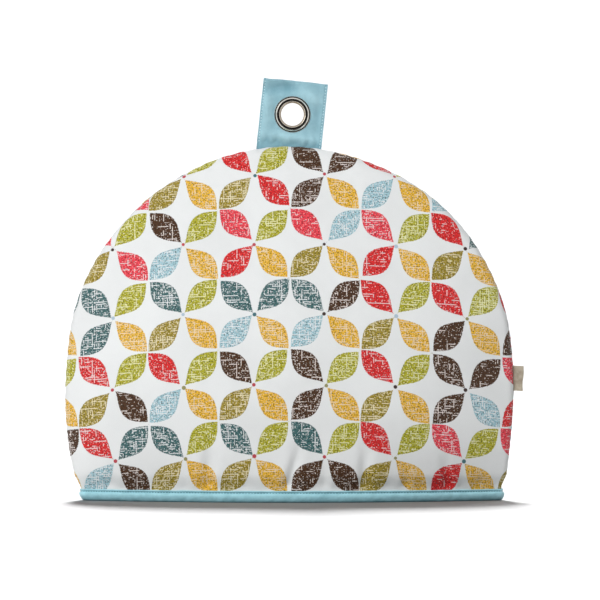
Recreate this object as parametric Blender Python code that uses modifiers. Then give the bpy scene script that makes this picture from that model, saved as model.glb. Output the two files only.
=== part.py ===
"""Quilted tea cosy with a bound hem, a hanging tab with an eyelet, and a blank side label.

It stands open on its hem and is hollow. Metres, +Z up. The front faces -Y. Local x = 0 is the middle
of the dome, and the root empty centres the whole outline, label included, on the world origin.
"""

import math

import bmesh
import bpy
import numpy as np
from mathutils import Euler, Vector

# Dome outline: how far the rim is from the middle of the hem, for directions that go from the right end
# of the hem over the top to the left end in equal steps. The small differences left to right are the
# cosy's own unevenness.
RIM_REACH = (0.1605, 0.171, 0.193, 0.2215, 0.2455, 0.2595, 0.2655, 0.2595, 0.2435, 0.2205, 0.1925, 0.171, 0.1565)
RIM_SAMPLES = 1441
RIM_MARGIN = math.radians(3.0)  # the outline goes on this far below the hem at each end

# Panels: two sheets that bow apart like a lens, each with its wadding on it
BOW = 0.044  # half the gap between the two sheets at the middle of the hem
LIFT_OUT = 0.009  # from a sheet to its outer face
LIFT_IN = 0.002  # from a sheet to its inner face
HEM_LIFT_OUT = 0.0064  # the same two at the hem, where the binding grips the wadding
HEM_LIFT_IN = 0.0030
PUFF_START = 0.0092  # height at which the wadding leaves the binding
PUFF_END = 0.021  # height at which it is full
LEVEL_HEIGHT = 0.040  # below this the wall's faces lean less and less, and at the hem they are upright
SEAM_GAP = 0.0003
SAG_STEP = 0.0005  # for the slope of the sheet

# Panel mesh
COLUMNS = 24
LOW_ROWS = (-0.004, 0.0085, PUFF_START, 0.0122, 0.0152, PUFF_END, 0.036, 0.060, 0.085)
CAP_ROWS = 8
NOSE_STEPS = 4

# Binding: half its section, as distance from the middle of the hem's thickness and height, from the
# middle of its foot round the outside to the inside of the fold
BINDING_SECTION = (
    # out, up
    (0.0000, 0.0000),
    (0.0017, 0.0000),
    (0.0027, 0.0005),
    (0.00325, 0.0018),
    (0.00345, 0.0045),
    (0.0033, 0.0074),
    (0.0029, 0.0085),
    (0.00205, 0.0087),
    (0.00205, 0.0013),
    (0.0000, 0.0013),
)
BINDING_COLUMNS = 24
BINDING_NOSE = 4
HEM_FLOOR = 0.0013 + SEAM_GAP  # the panels end here, inside the fold

# Hanging tab
TAB_WIDTH = 0.0484
TAB_LENGTH = 0.0492  # from the seam to the fold at the top
TAB_ROOT = 0.0050  # how much of it is inside the seam
TAB_THICK = 0.0024
TAB_EDGE = 0.0007
TAB_LEAN = math.radians(6.0)  # towards +X
TAB_X = -0.0004
TAB_FOOT = 0.2655  # height of the seam there
CLEARANCE = 0.0003

# Eyelet, turned about the tab's thickness
EYELET_BELOW_FOLD = 0.0253
EYELET_OUTER = 0.0134
EYELET_BORE = 0.0090
EYELET_WALL = 0.0005
EYELET_DOME = 0.0019
EYELET_SEGMENTS = 28
LIP_REACH = 0.0024
LIP_THICK = 0.0009
WASHER_OUTER = 0.0130
WASHER_THICK = 0.0008
TAB_HOLE = EYELET_BORE + EYELET_WALL + CLEARANCE
TAB_HOLE_SIDES = 28

# Side label
LABEL_HEIGHT = 0.0188
LABEL_MIDDLE = 0.0915
LABEL_OUT = 0.0074  # past the seam
LABEL_ROOT = 0.0050
LABEL_THICK = 0.0012
LABEL_EDGE = 0.0004
LABEL_LEAN = math.radians(3.0)

BODY_X = -0.5 * LABEL_OUT  # centres the outline, label included


def make_collection(name):
    collection = bpy.data.collections.new(name)
    bpy.context.scene.collection.children.link(collection)
    return collection


def make_material(name, color, roughness, metallic=0.0):
    material = bpy.data.materials.new(name)
    material.use_nodes = True
    shader = material.node_tree.nodes["Principled BSDF"]
    shader.inputs["Base Color"].default_value = (*color, 1.0)
    shader.inputs["Roughness"].default_value = roughness
    shader.inputs["Metallic"].default_value = metallic
    return material


def object_from(bm, name, collection, parent, material=None):
    mesh = bpy.data.meshes.new(name)
    bm.to_mesh(mesh)
    bm.free()
    if material:
        mesh.materials.append(material)
    obj = bpy.data.objects.new(name, mesh)
    collection.objects.link(obj)
    obj.parent = parent
    return obj


def as_cutter(obj):
    obj.hide_render = True
    obj.display_type = "WIRE"
    return obj


def rim_curve():
    """Directions, and the reach of the rim in each: a smooth curve through the table's reaches."""
    reach = np.array(RIM_REACH)
    slope = np.gradient(reach, edge_order=2)
    turns = np.linspace(-RIM_MARGIN, math.pi + RIM_MARGIN, RIM_SAMPLES)
    rows = turns / math.pi * (len(reach) - 1)
    row = np.clip(np.floor(rows).astype(int), 0, len(reach) - 2)
    t = rows - row
    ease = t * t * (3.0 - 2.0 * t)
    start = slope[row] * (t**3 - 2.0 * t**2 + t)
    end = slope[row + 1] * (t**3 - t**2)
    return turns, reach[row] * (1.0 - ease) + reach[row + 1] * ease + start + end


RIM_TURNS, RIM_REACHES = rim_curve()


def sheet_reach(turn):
    """Reach of a sheet's own edge, which the wadding's rounded edge goes past."""
    return float(np.interp(turn, RIM_TURNS, RIM_REACHES)) - LIFT_OUT


def sheet_half_width(side, z):
    """Half-width of a sheet at a height, on side +1 or -1, for heights where its edge is steep."""
    turn = 0.0 if side > 0 else math.pi
    for _ in range(8):
        reach = sheet_reach(turn)
        rise = math.asin(z / reach)
        turn = rise if side > 0 else math.pi - rise
    return reach * math.cos(rise)


def bow_at(x, z):
    """Distance of a sheet from the middle plane."""
    distance = math.hypot(x, z)
    if distance == 0.0:
        return BOW
    turn = math.atan2(z, x)
    if turn < -0.5 * math.pi:  # just below the left end of the hem
        turn += 2.0 * math.pi
    return BOW * (1.0 - (distance / sheet_reach(turn)) ** 2)


def smooth(value, low, high):
    t = min(1.0, max(0.0, (value - low) / (high - low)))
    return t * t * (3.0 - 2.0 * t)


def skin(x, z, lift, turn=0.0):
    """A point of the front wall: the sheet's own point, lifted along its normal.

    At the sheet's edge, turn goes from 0 to 1 and rolls the normal over into the middle plane.
    """
    slope_x = (bow_at(x + SAG_STEP, z) - bow_at(x - SAG_STEP, z)) / (2.0 * SAG_STEP)
    slope_z = (bow_at(x, z + SAG_STEP) - bow_at(x, z - SAG_STEP)) / (2.0 * SAG_STEP)
    slope_z *= smooth(z, 0.0, LEVEL_HEIGHT)
    slope = math.hypot(slope_x, slope_z)
    if slope < 1e-9:
        return Vector((x, -(bow_at(x, z) + lift), z))
    lean = math.atan(slope)
    lean += (0.5 * math.pi - lean) * turn
    outward = lift * math.sin(lean) / slope
    return Vector((x - slope_x * outward, -(bow_at(x, z) + lift * math.cos(lean)), z - slope_z * outward))


def sheet_place(u, row):
    """Where column u, from -1 to 1, and a row, counted from the hem, meet on a sheet."""
    low_count = len(LOW_ROWS) - 1
    if row <= low_count:
        z = LOW_ROWS[row]
        return u * sheet_half_width(1.0 if u > 0 else -1.0, z), z
    # the cap above the straight rows: a half square pressed into a half disc
    base = LOW_ROWS[-1]
    v = (row - low_count) / CAP_ROWS
    disc_x = u * math.sqrt(1.0 - 0.5 * v * v)
    disc_z = v * math.sqrt(1.0 - 0.5 * u * u)
    way = math.atan2(disc_z, disc_x)
    reach = math.hypot(disc_x, disc_z) * cap_reach(way, base)
    return reach * math.cos(way), base + reach * math.sin(way)


def cap_reach(way, base):
    """Reach of a sheet's edge from the middle of the cap's base, in direction way."""
    edge_x = (RIM_REACHES - LIFT_OUT) * np.cos(RIM_TURNS)
    edge_z = (RIM_REACHES - LIFT_OUT) * np.sin(RIM_TURNS) - base
    ways = np.arctan2(edge_z, edge_x)
    above = edge_z >= 0.0
    return float(np.interp(way, ways[above], np.hypot(edge_x, edge_z)[above]))


def outer_lift(z):
    return HEM_LIFT_OUT + (LIFT_OUT - HEM_LIFT_OUT) * smooth(z, PUFF_START, PUFF_END)


def wall_thickness(z):
    hem = HEM_LIFT_OUT - HEM_LIFT_IN
    full = LIFT_OUT - LIFT_IN
    return hem + (full - hem) * smooth(z, PUFF_START, PUFF_END)


def make_wall(name, collection, parent, material, half):
    """One panel: the front's outer face, mirrored for true normals at the seam, given its thickness
    and then cut to its own half."""
    row_count = len(LOW_ROWS) - 1 + CAP_ROWS
    bm = bmesh.new()
    bmesh.ops.create_grid(bm, x_segments=COLUMNS, y_segments=row_count, size=1.0)
    edge_places = {}
    for vert in bm.verts:
        u = vert.co.x
        row = round((vert.co.y + 1.0) * 0.5 * row_count)
        x, z = sheet_place(u, row)
        edge_places[vert] = (x, z)
        vert.co = skin(x, z, outer_lift(z))
        if abs(u) < 1.0 - 1e-6 and row < row_count:
            del edge_places[vert]
    # roll the free edge over into the middle plane, strip by strip
    rim_edges = [edge for edge in bm.edges if edge.is_boundary and all(v in edge_places for v in edge.verts)]
    rim_edges = [edge for edge in rim_edges if max(edge_places[v][1] for v in edge.verts) > LOW_ROWS[0]]
    for step in range(1, NOSE_STEPS + 1):
        result = bmesh.ops.extrude_edge_only(bm, edges=rim_edges)
        new_verts = [item for item in result["geom"] if isinstance(item, bmesh.types.BMVert)]
        rim_edges = [item for item in result["geom"] if isinstance(item, bmesh.types.BMEdge)]
        rim_edges = [edge for edge in rim_edges if all(v in new_verts for v in edge.verts)]
        places = {tuple(round(c, 7) for c in vert.co): place for vert, place in edge_places.items()}
        edge_places = {}
        for vert in new_verts:
            place = places[tuple(round(c, 7) for c in vert.co)]
            edge_places[vert] = place
        for vert, (x, z) in edge_places.items():
            vert.co = skin(x, z, outer_lift(z), step / NOSE_STEPS)
            if step == NOSE_STEPS:
                vert.co.y = 0.0
    full = LIFT_OUT - LIFT_IN
    obj = object_from(bm, name, collection, parent, material)
    thickness = obj.vertex_groups.new(name="wadding")
    for vert in obj.data.vertices:
        thickness.add([vert.index], wall_thickness(vert.co.z) / full, "REPLACE")
    obj.data.shade_smooth()
    mirror = obj.modifiers.new("both_sides", "MIRROR")
    mirror.use_axis = (False, True, False)
    mirror.merge_threshold = 0.0001
    solidify = obj.modifiers.new("wadding", "SOLIDIFY")
    solidify.thickness = full
    solidify.offset = -1.0
    solidify.vertex_group = "wadding"
    solidify.use_rim = True
    cut = obj.modifiers.new("own_half", "BOOLEAN")
    cut.operation = "INTERSECT"
    cut.object = half
    return obj


def box(name, low, high, collection, parent):
    bm = bmesh.new()
    bmesh.ops.create_cube(bm, size=1.0)
    size = Vector(high) - Vector(low)
    middle = (Vector(high) + Vector(low)) * 0.5
    for vert in bm.verts:
        vert.co = Vector((vert.co.x * size.x, vert.co.y * size.y, vert.co.z * size.z)) + middle
    return object_from(bm, name, collection, parent)


def cut_with(obj, cutter, name):
    modifier = obj.modifiers.new(name, "BOOLEAN")
    modifier.operation = "DIFFERENCE"
    modifier.object = cutter


def hem_stations():
    """Once round the hem: column u, how far the edge has rolled over, and the side, -1 in front."""
    stations = []
    for i in range(BINDING_COLUMNS + 1):
        stations.append((-1.0 + 2.0 * i / BINDING_COLUMNS, 0.0, -1.0))
    for i in range(1, BINDING_NOSE):
        stations.append((1.0, i / BINDING_NOSE, -1.0))
    for i in range(BINDING_NOSE + 1):
        stations.append((1.0, 1.0 - i / BINDING_NOSE, 1.0))
    for i in range(1, BINDING_COLUMNS + 1):
        stations.append((1.0 - 2.0 * i / BINDING_COLUMNS, 0.0, 1.0))
    for i in range(1, BINDING_NOSE):
        stations.append((-1.0, i / BINDING_NOSE, 1.0))
    for i in range(BINDING_NOSE):
        stations.append((-1.0, 1.0 - i / BINDING_NOSE, -1.0))
    return stations


def make_binding(collection, parent, material):
    middle = 0.5 * (HEM_LIFT_OUT + HEM_LIFT_IN)
    outside = [(middle + out, up) for out, up in BINDING_SECTION]
    inside = [(middle - out, up) for out, up in reversed(BINDING_SECTION[1:-1])]
    section = outside + inside
    stations = hem_stations()
    across = len(stations)
    around = len(section)
    bm = bmesh.new()
    bmesh.ops.create_grid(bm, x_segments=across, y_segments=around, size=1.0)
    for vert in bm.verts:
        i = round((vert.co.x + 1.0) * 0.5 * across) % across
        j = round((vert.co.y + 1.0) * 0.5 * around) % around
        u, turn, side = stations[i]
        lift, up = section[j]
        x = u * sheet_half_width(1.0 if u > 0 else -1.0, up)
        vert.co = skin(x, up, lift, turn)
        vert.co.z = up
        if side > 0:
            vert.co.y = -vert.co.y
    bmesh.ops.remove_doubles(bm, verts=bm.verts, dist=0.00001)
    bmesh.ops.recalc_face_normals(bm, faces=bm.faces)
    obj = object_from(bm, "hem_binding", collection, parent, material)
    obj.data.shade_smooth()
    obj.data.set_sharp_from_angle(angle=math.radians(50.0))
    return obj


def add_spline(curve, points):
    spline = curve.splines.new("POLY")
    spline.points.add(len(points) - 1)
    for point, (x, y) in zip(spline.points, points):
        point.co = (x, y, 0.0, 1.0)
    spline.use_cyclic_u = True


def make_tab(collection, parent, material):
    """A flat outline with the eyelet's hole, its own plane X and Z, origin at the middle of the seam."""
    curve = bpy.data.curves.new("tab_outline", "CURVE")
    curve.dimensions = "2D"
    curve.fill_mode = "BOTH"
    curve.extrude = 0.5 * TAB_THICK
    half = 0.5 * TAB_WIDTH
    add_spline(curve, [(-half, -TAB_ROOT), (half, -TAB_ROOT), (half, TAB_LENGTH), (-half, TAB_LENGTH)])
    centre = TAB_LENGTH - EYELET_BELOW_FOLD
    turns = [2.0 * math.pi * i / TAB_HOLE_SIDES for i in range(TAB_HOLE_SIDES)]
    add_spline(curve, [(TAB_HOLE * math.cos(t), centre + TAB_HOLE * math.sin(t)) for t in turns])
    outline = bpy.data.objects.new("tab_outline", curve)
    collection.objects.link(outline)
    bpy.context.view_layer.update()
    evaluated = outline.evaluated_get(bpy.context.evaluated_depsgraph_get())
    mesh = bpy.data.meshes.new_from_object(evaluated)
    bpy.data.objects.remove(outline)
    bm = bmesh.new()
    bm.from_mesh(mesh)
    bpy.data.meshes.remove(mesh)
    bmesh.ops.remove_doubles(bm, verts=bm.verts, dist=0.00001)
    bmesh.ops.dissolve_limit(bm, angle_limit=math.radians(1.0), verts=bm.verts, edges=bm.edges)
    bmesh.ops.rotate(bm, verts=bm.verts, matrix=Euler((0.5 * math.pi, 0.0, 0.0)).to_matrix())
    obj = object_from(bm, "hanging_tab", collection, parent, material)
    obj.location = (TAB_X, 0.0, TAB_FOOT)
    obj.rotation_euler = (0.0, TAB_LEAN, 0.0)
    bevel = obj.modifiers.new("soft_edges", "BEVEL")
    bevel.width = TAB_EDGE
    bevel.segments = 2
    bevel.limit_method = "ANGLE"
    bevel.angle_limit = math.radians(60.0)
    return obj


def turned(name, profile, collection, parent, material):
    """A closed profile of radius and height, spun about Z, then laid so that its front faces -Y."""
    bm = bmesh.new()
    verts = [bm.verts.new((radius, 0.0, height)) for radius, height in profile]
    for i, vert in enumerate(verts):
        bm.edges.new((vert, verts[(i + 1) % len(verts)]))
    obj = object_from(bm, name, collection, parent, material)
    obj.rotation_euler = (0.5 * math.pi, 0.0, 0.0)
    screw = obj.modifiers.new("turn", "SCREW")
    screw.steps = EYELET_SEGMENTS
    screw.render_steps = EYELET_SEGMENTS
    screw.use_merge_vertices = True
    screw.merge_threshold = 0.00001
    screw.use_smooth_shade = True
    return obj


def place_on_tab(obj):
    """Puts a turned piece at the eyelet's place on the leaning tab."""
    reach = TAB_LENGTH - EYELET_BELOW_FOLD
    obj.location = (TAB_X + reach * math.sin(TAB_LEAN), 0.0, TAB_FOOT + reach * math.cos(TAB_LEAN))


def eyelet_profile():
    """Radius and height above the tab's middle, down the outer side from the top of the dome."""
    face = 0.5 * TAB_THICK + CLEARANCE
    barrel = EYELET_BORE + EYELET_WALL
    back = -(face + WASHER_THICK + CLEARANCE)
    crown = 0.5 * (EYELET_BORE + EYELET_OUTER)
    half_width = 0.5 * (EYELET_OUTER - EYELET_BORE)
    profile = []
    for i in range(5):  # the dome, from its crown out to its edge
        t = 0.5 * math.pi * i / 4
        profile.append((crown + half_width * math.sin(t), face + EYELET_DOME * math.cos(t) ** 0.8))
    profile.append((barrel, face))
    profile.append((barrel, back))
    profile.append((EYELET_BORE + LIP_REACH, back))
    for i in range(1, 4):  # the rolled lip
        t = 0.5 * math.pi * i / 3
        drop = LIP_THICK * math.sin(t)
        profile.append((EYELET_BORE + LIP_REACH * math.cos(t) ** 0.8 + 0.0003 * math.sin(t), back - drop))
    profile.append((EYELET_BORE, back + 0.0002))
    for i in range(4):  # up the bore and over to the crown
        t = 0.5 * math.pi * i / 4
        profile.append((crown - half_width * math.cos(t), face + EYELET_DOME * math.sin(t) ** 0.8))
    return profile


def washer_profile():
    face = -(0.5 * TAB_THICK + CLEARANCE)
    inner = EYELET_BORE + EYELET_WALL + CLEARANCE
    return [
        (WASHER_OUTER - 0.0003, face),
        (WASHER_OUTER, face - 0.0003),
        (WASHER_OUTER - 0.0004, face - WASHER_THICK),
        (inner, face - WASHER_THICK),
        (inner, face),
    ]


def make_label(collection, parent, material):
    rim_x = sheet_half_width(1.0, LABEL_MIDDLE) + LIFT_OUT
    obj = box(
        "side_label",
        (-LABEL_ROOT, -0.5 * LABEL_THICK, -0.5 * LABEL_HEIGHT),
        (LABEL_OUT, 0.5 * LABEL_THICK, 0.5 * LABEL_HEIGHT),
        collection,
        parent,
    )
    obj.data.materials.append(material)
    obj.location = (rim_x, 0.0, LABEL_MIDDLE)
    obj.rotation_euler = (0.0, LABEL_LEAN, 0.0)
    bevel = obj.modifiers.new("soft_edges", "BEVEL")
    bevel.width = LABEL_EDGE
    bevel.segments = 2
    return obj


def main():
    for obj in list(bpy.data.objects):
        bpy.data.objects.remove(obj)
    cosy = make_collection("tea_cosy")
    cutters = make_collection("cutters")
    root = bpy.data.objects.new("root", None)
    root.location = (BODY_X, 0.0, 0.0)
    cosy.objects.link(root)

    printed = make_material("printed_cotton", (0.86, 0.86, 0.84), 0.9)
    tape = make_material("bias_tape", (0.27, 0.62, 0.74), 0.85)
    tab_cotton = make_material("tab_cotton", (0.34, 0.58, 0.68), 0.85)
    nickel = make_material("polished_nickel", (0.75, 0.74, 0.72), 0.15, 1.0)
    label_tape = make_material("label_tape", (0.48, 0.40, 0.32), 0.9)

    far = 0.40
    front_half = as_cutter(
        box("front_half", (-far, -far, HEM_FLOOR), (far, -0.5 * SEAM_GAP, far), cutters, root)
    )
    back_half = as_cutter(
        box("back_half", (-far, 0.5 * SEAM_GAP, HEM_FLOOR), (far, far, far), cutters, root)
    )
    tab_half = 0.5 * TAB_WIDTH + CLEARANCE
    tab_deep = 0.5 * TAB_THICK + CLEARANCE
    tab_slot = as_cutter(
        box(
            "tab_slot",
            (-tab_half, -tab_deep, -TAB_ROOT - CLEARANCE),
            (tab_half, tab_deep, TAB_LENGTH),
            cutters,
            root,
        )
    )
    tab_slot.location = (TAB_X, 0.0, TAB_FOOT)
    tab_slot.rotation_euler = (0.0, TAB_LEAN, 0.0)
    label_deep = 0.5 * LABEL_THICK + CLEARANCE
    label_half = 0.5 * LABEL_HEIGHT + CLEARANCE
    label_slot = as_cutter(
        box(
            "label_slot",
            (-LABEL_ROOT - CLEARANCE, -label_deep, -label_half),
            (2.0 * LABEL_OUT, label_deep, label_half),
            cutters,
            root,
        )
    )
    label_slot.location = (sheet_half_width(1.0, LABEL_MIDDLE) + LIFT_OUT, 0.0, LABEL_MIDDLE)
    label_slot.rotation_euler = (0.0, LABEL_LEAN, 0.0)

    for name, half in (("panel_front", front_half), ("panel_back", back_half)):
        panel = make_wall(name, cosy, root, printed, half)
        cut_with(panel, tab_slot, "tab_slot")
        cut_with(panel, label_slot, "label_slot")

    make_binding(cosy, root, tape)
    make_tab(cosy, root, tab_cotton)
    place_on_tab(turned("eyelet", eyelet_profile(), cosy, root, nickel))
    place_on_tab(turned("eyelet_washer", washer_profile(), cosy, root, nickel))
    make_label(cosy, root, label_tape)


main()
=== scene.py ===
import math

import bmesh
import bpy
import numpy as np
from mathutils import Matrix, Vector, noise


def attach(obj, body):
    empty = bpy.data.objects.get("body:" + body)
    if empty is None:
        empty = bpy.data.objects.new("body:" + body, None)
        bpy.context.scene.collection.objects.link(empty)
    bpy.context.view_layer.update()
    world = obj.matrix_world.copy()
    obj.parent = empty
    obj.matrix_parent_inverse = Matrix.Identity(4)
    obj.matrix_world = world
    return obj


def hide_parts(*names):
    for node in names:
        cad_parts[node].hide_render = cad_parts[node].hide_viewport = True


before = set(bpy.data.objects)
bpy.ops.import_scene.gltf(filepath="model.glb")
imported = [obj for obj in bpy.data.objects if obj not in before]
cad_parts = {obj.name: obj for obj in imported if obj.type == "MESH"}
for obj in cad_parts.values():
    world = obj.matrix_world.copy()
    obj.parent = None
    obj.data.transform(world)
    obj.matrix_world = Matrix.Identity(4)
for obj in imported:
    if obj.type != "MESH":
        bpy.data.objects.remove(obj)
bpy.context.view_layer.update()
print("frame loaded:", ", ".join(sorted(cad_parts)))

# The sewn shape, in metres. Local x = 0 is the middle of the dome, z = 0 the floor, and the front faces -y.
# rimReach is how far the rim is from the middle of the hem, from the right end over the top to the left.
cosy = {
    "middleX": -0.0037,
    "rimReach": (0.1605, 0.171, 0.193, 0.2215, 0.2455, 0.2595, 0.2655,
                 0.2595, 0.2435, 0.2205, 0.1925, 0.171, 0.1565),
    "rimSamples": 1441,
    "rimMargin": math.radians(3.0),
    "bow": 0.044,  # half the opening at the middle of the hem
    "liftOut": 0.009,  # middle sheet to outer face
    "liftIn": 0.002,  # middle sheet to inner face
    "hemLiftOut": 0.0064,
    "hemLiftIn": 0.003,
    "hemFloor": 0.0016,  # raw edge of the panels, inside the fold of the binding
    "puffStart": 0.0092,
    "puffEnd": 0.021,
    "levelHeight": 0.04,
    "sagStep": 0.0005,
    "seamGap": 0.00015,  # each panel's side of the seam
}


def smooth(value, low, high):
    t = min(1.0, max(0.0, (value - low) / (high - low)))
    return t * t * (3.0 - 2.0 * t)


def rimCurve():
    # smooth curve through the rim's reaches
    reach = np.array(cosy["rimReach"])
    slope = np.gradient(reach, edge_order=2)
    turns = np.linspace(-cosy["rimMargin"], math.pi + cosy["rimMargin"], cosy["rimSamples"])
    rows = turns / math.pi * (len(reach) - 1)
    row = np.clip(np.floor(rows).astype(int), 0, len(reach) - 2)
    t = rows - row
    ease = t * t * (3.0 - 2.0 * t)
    start = slope[row] * (t**3 - 2.0 * t**2 + t)
    end = slope[row + 1] * (t**3 - t**2)
    return turns, reach[row] * (1.0 - ease) + reach[row + 1] * ease + start + end


rimTurns, rimReaches = rimCurve()


def sheetReach(turn):
    return float(np.interp(turn, rimTurns, rimReaches)) - cosy["liftOut"]


def sheetHalfWidth(side, z):
    turn = 0.0 if side > 0 else math.pi
    for _ in range(8):
        reach = sheetReach(turn)
        rise = math.asin(z / reach)
        turn = rise if side > 0 else math.pi - rise
    return reach * math.cos(rise)


def bowAt(x, z):
    # how far a sheet stands from the middle plane
    distance = math.hypot(x, z)
    if distance == 0.0:
        return cosy["bow"]
    turn = math.atan2(z, x)
    if turn < -0.5 * math.pi:
        turn += 2.0 * math.pi
    return cosy["bow"] * (1.0 - (distance / sheetReach(turn)) ** 2)


def wallPoint(x, z, lift, turn=0.0):
    # a point over the sheet and how far the cloth has rolled there; turn 0 to 1 rolls it over the rim
    step = cosy["sagStep"]
    slopeX = (bowAt(x + step, z) - bowAt(x - step, z)) / (2.0 * step)
    slopeZ = (bowAt(x, z + step) - bowAt(x, z - step)) / (2.0 * step)
    slopeZ *= smooth(z, 0.0, cosy["levelHeight"])
    slope = math.hypot(slopeX, slopeZ)
    if slope < 1e-9:
        return Vector((x, -(bowAt(x, z) + lift), z)), Vector((0.0, 0.0))
    lean = math.atan(slope)
    lean += (0.5 * math.pi - lean) * turn
    away = Vector((-slopeX, -slopeZ)) / slope
    outward = away * lift * math.sin(lean)
    point = Vector((x + outward.x, -(bowAt(x, z) + lift * math.cos(lean)), z + outward.y))
    return point, away * lift * lean


def puffed(z, atHem, full):
    # the wadding is pressed flat in the hem and swells above it
    return atHem + (full - atHem) * smooth(z, cosy["puffStart"], cosy["puffEnd"])


def finishPiece(obj, nodes, sharp=None):
    # the pieces are made round the dome's own middle, so this puts one where the frame has it
    obj.data.shade_smooth()
    if sharp:
        obj.data.set_sharp_from_angle(angle=math.radians(sharp))
    obj.data.transform(Matrix.Translation((cosy["middleX"], 0.0, 0.0)))
    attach(obj, "root")
    if nodes:
        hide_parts(*nodes)
    return obj


def pieceFrom(bm, name, *materials):
    mesh = bpy.data.meshes.new(name)
    bm.to_mesh(mesh)
    bm.free()
    for material in materials:
        mesh.materials.append(material)
    obj = bpy.data.objects.new(name, mesh)
    bpy.context.scene.collection.objects.link(obj)
    return obj


def bakeModifiers(obj):
    bpy.context.view_layer.update()
    evaluated = obj.evaluated_get(bpy.context.evaluated_depsgraph_get())
    mesh = bpy.data.meshes.new_from_object(evaluated)
    old = obj.data
    obj.modifiers.clear()
    obj.data = mesh
    bpy.data.meshes.remove(old)
    mesh.name = obj.name


def newGrid(columns, rows, *names):
    # a flat grid from -1 to 1, with an empty layer for each name
    bm = bmesh.new()
    layers = [bm.verts.layers.float.new(name) for name in names]
    bmesh.ops.create_grid(bm, x_segments=columns, y_segments=rows, size=1.0)
    return bm, layers


def ripple(x, y, z):
    return noise.noise(Vector((x, y, z)))


def addThickness(obj, name, thickness, offset=0.0):
    solidify = obj.modifiers.new(name, "SOLIDIFY")
    solidify.thickness = thickness
    solidify.offset = offset
    return solidify


def runLengths(points):
    runs = [0.0]
    for start, end in zip(points, points[1:]):
        runs.append(runs[-1] + (end - start).length)
    return runs


def finishCloth(bm, flatU, flatV, weld=0.0):
    # the flat place of each point, in metres, becomes the cloth's own map
    cloth = bm.loops.layers.uv.new("cloth")
    for face in bm.faces:
        for loop in face.loops:
            loop[cloth].uv = (loop.vert[flatU], loop.vert[flatV])
    if weld:
        bmesh.ops.remove_doubles(bm, verts=bm.verts, dist=weld)
    bmesh.ops.recalc_face_normals(bm, faces=bm.faces)


def paint(code):
    channels = [int(code[i:i + 2], 16) / 255.0 for i in (0, 2, 4)]
    return tuple(c / 12.92 if c <= 0.04045 else ((c + 0.055) / 1.055) ** 2.4 for c in channels) + (1.0,)


def plug(value, socket):
    if isinstance(value, bpy.types.NodeSocket):
        socket.id_data.links.new(value, socket)
    elif value is not None:
        socket.default_value = value


def addNode(tree, kind, *values, **settings):
    node = tree.nodes.new(kind)
    for name, setting in settings.items():
        setattr(node, name, setting)
    for socket, value in zip(node.inputs, values):
        plug(value, socket)
    return node


def fillIn(node, values):
    for label, value in values.items():
        plug(value, node.inputs[label])


def follow(kind, *values, **settings):
    # a node in the same tree as what is plugged into it
    tree = next(value.id_data for value in values if isinstance(value, bpy.types.NodeSocket))
    return addNode(tree, kind, *values, **settings)


def calc(operation, *values):
    return follow("ShaderNodeMath", *values, operation=operation).outputs[0]


def plus(a, b):
    return calc("ADD", a, b)


def minus(a, b):
    return calc("SUBTRACT", a, b)


def times(a, b):
    return calc("MULTIPLY", a, b)


def timesPlus(a, b, c):
    return calc("MULTIPLY_ADD", a, b, c)


def vecCalc(operation, *vectors):
    return follow("ShaderNodeVectorMath", *vectors, operation=operation).outputs[0]


def lengthOf(vector):
    return follow("ShaderNodeVectorMath", vector, operation="LENGTH").outputs["Value"]


def combine(x, y, z=0.0):
    return follow("ShaderNodeCombineXYZ", x, y, z).outputs[0]


def separate(vector):
    return follow("ShaderNodeSeparateXYZ", vector).outputs


def between(value, low, high, start=0.0, end=1.0):
    node = follow("ShaderNodeMapRange", value, low, high, start, end, interpolation_type="SMOOTHSTEP")
    return node.outputs[0]


def mixColors(factor, a, b, blend="MIX"):
    unused = [None] * 5  # the sockets for numbers and vectors
    node = follow("ShaderNodeMix", factor, *unused, a, b, data_type="RGBA", blend_type=blend)
    return node.outputs[2]


def shaded(color, shade):
    return mixColors(1.0, color, combine(shade, shade, shade), "MULTIPLY")


def cloudNoise(vector, scale, detail=1.0, roughness=0.5, dimensions="2D"):
    node = follow("ShaderNodeTexNoise", vector, noise_dimensions=dimensions)
    fillIn(node, {"Scale": scale, "Detail": detail, "Roughness": roughness})
    return node.outputs["Fac"]


def chance(x, y, z):
    return follow("ShaderNodeTexWhiteNoise", combine(x, y, z), noise_dimensions="3D").outputs


def colorSteps(factor, stops):
    node = follow("ShaderNodeValToRGB", factor)
    node.color_ramp.interpolation = "CONSTANT"
    elements = node.color_ramp.elements
    while len(elements) < len(stops):
        elements.new(0.5)
    for element, (position, code) in zip(elements, stops):
        element.position = position
        element.color = paint(code)
    return node.outputs[0]


def newGroup(name, inputs, outputs):
    tree = bpy.data.node_groups.new(name, "ShaderNodeTree")
    for label, kind in inputs:
        tree.interface.new_socket(label, in_out="INPUT", socket_type="NodeSocket" + kind)
    for label, kind in outputs:
        tree.interface.new_socket(label, in_out="OUTPUT", socket_type="NodeSocket" + kind)
    return tree, tree.nodes.new("NodeGroupInput").outputs, tree.nodes.new("NodeGroupOutput").inputs


def useGroup(tree, group, values):
    node = addNode(tree, "ShaderNodeGroup", node_tree=group)
    fillIn(node, values)
    return node.outputs


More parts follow.
